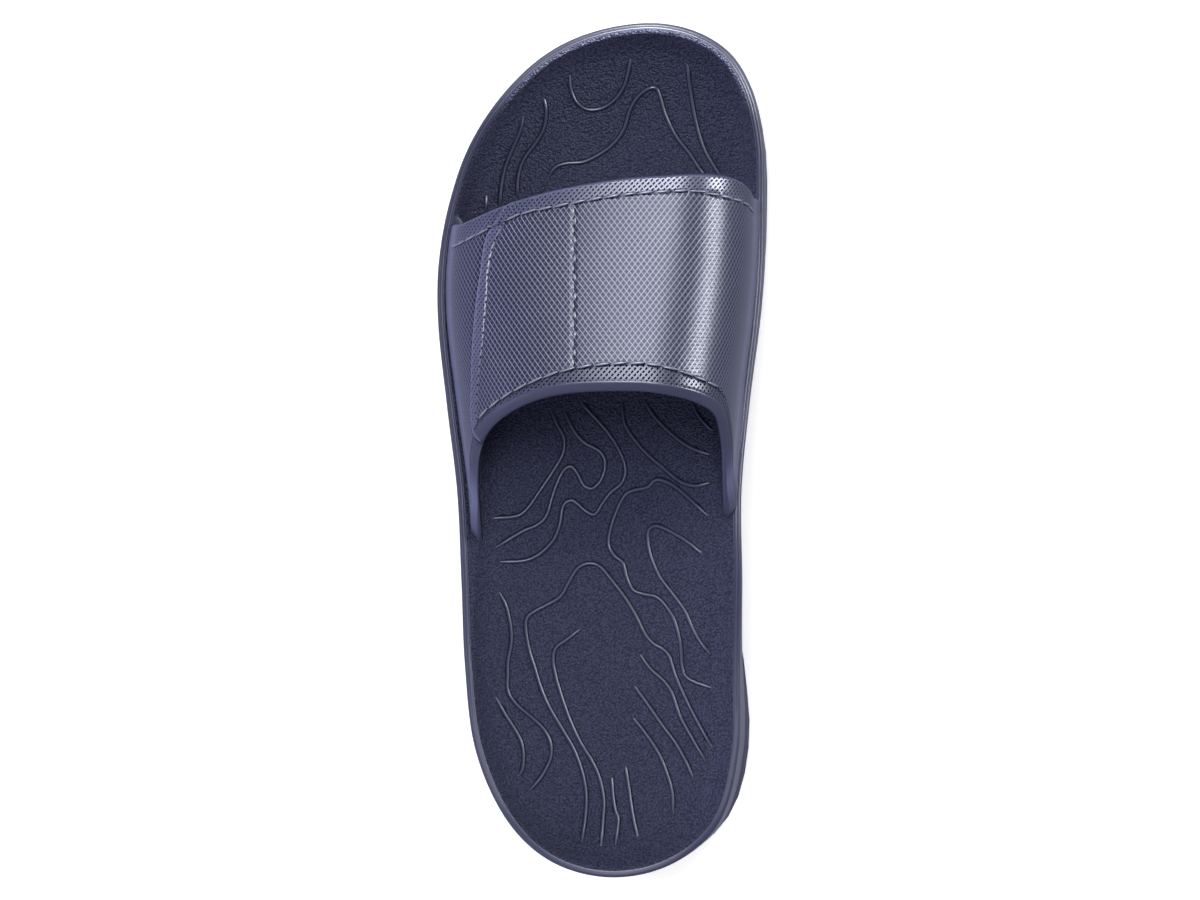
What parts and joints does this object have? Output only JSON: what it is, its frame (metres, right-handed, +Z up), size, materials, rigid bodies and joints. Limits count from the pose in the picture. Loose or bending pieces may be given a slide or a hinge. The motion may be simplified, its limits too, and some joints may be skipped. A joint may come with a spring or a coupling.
{
  "type": "slide sandal",
  "caption": "Moulded foam slide sandal for the left foot: a cupped footbed with a raised rim, a lugged tread layer and a broad instep strap open at toe and heel.",
  "frame": {"origin": "on the ground plane under the middle of the sandal's bounding box", "axes": "+Y from heel to toe, +X towards the big toe, +Z up; the sandal stands on z = 0"},
  "size_m": [0.1146, 0.296, 0.0847],
  "materials": {
    "outsole_foam": "matt navy moulded foam with a fine honeycomb grain in the channels",
    "midsole_foam": "matt navy moulded foam with a fine leather-like grain on the footbed",
    "upper_foam": "matt navy moulded foam with a moulded knit texture and stitch lines"
  },
  "bodies": {
    "root": {"outsole": "outsole_foam", "midsole": "midsole_foam", "upper": "upper_foam"}
  },
  "joints": []
}
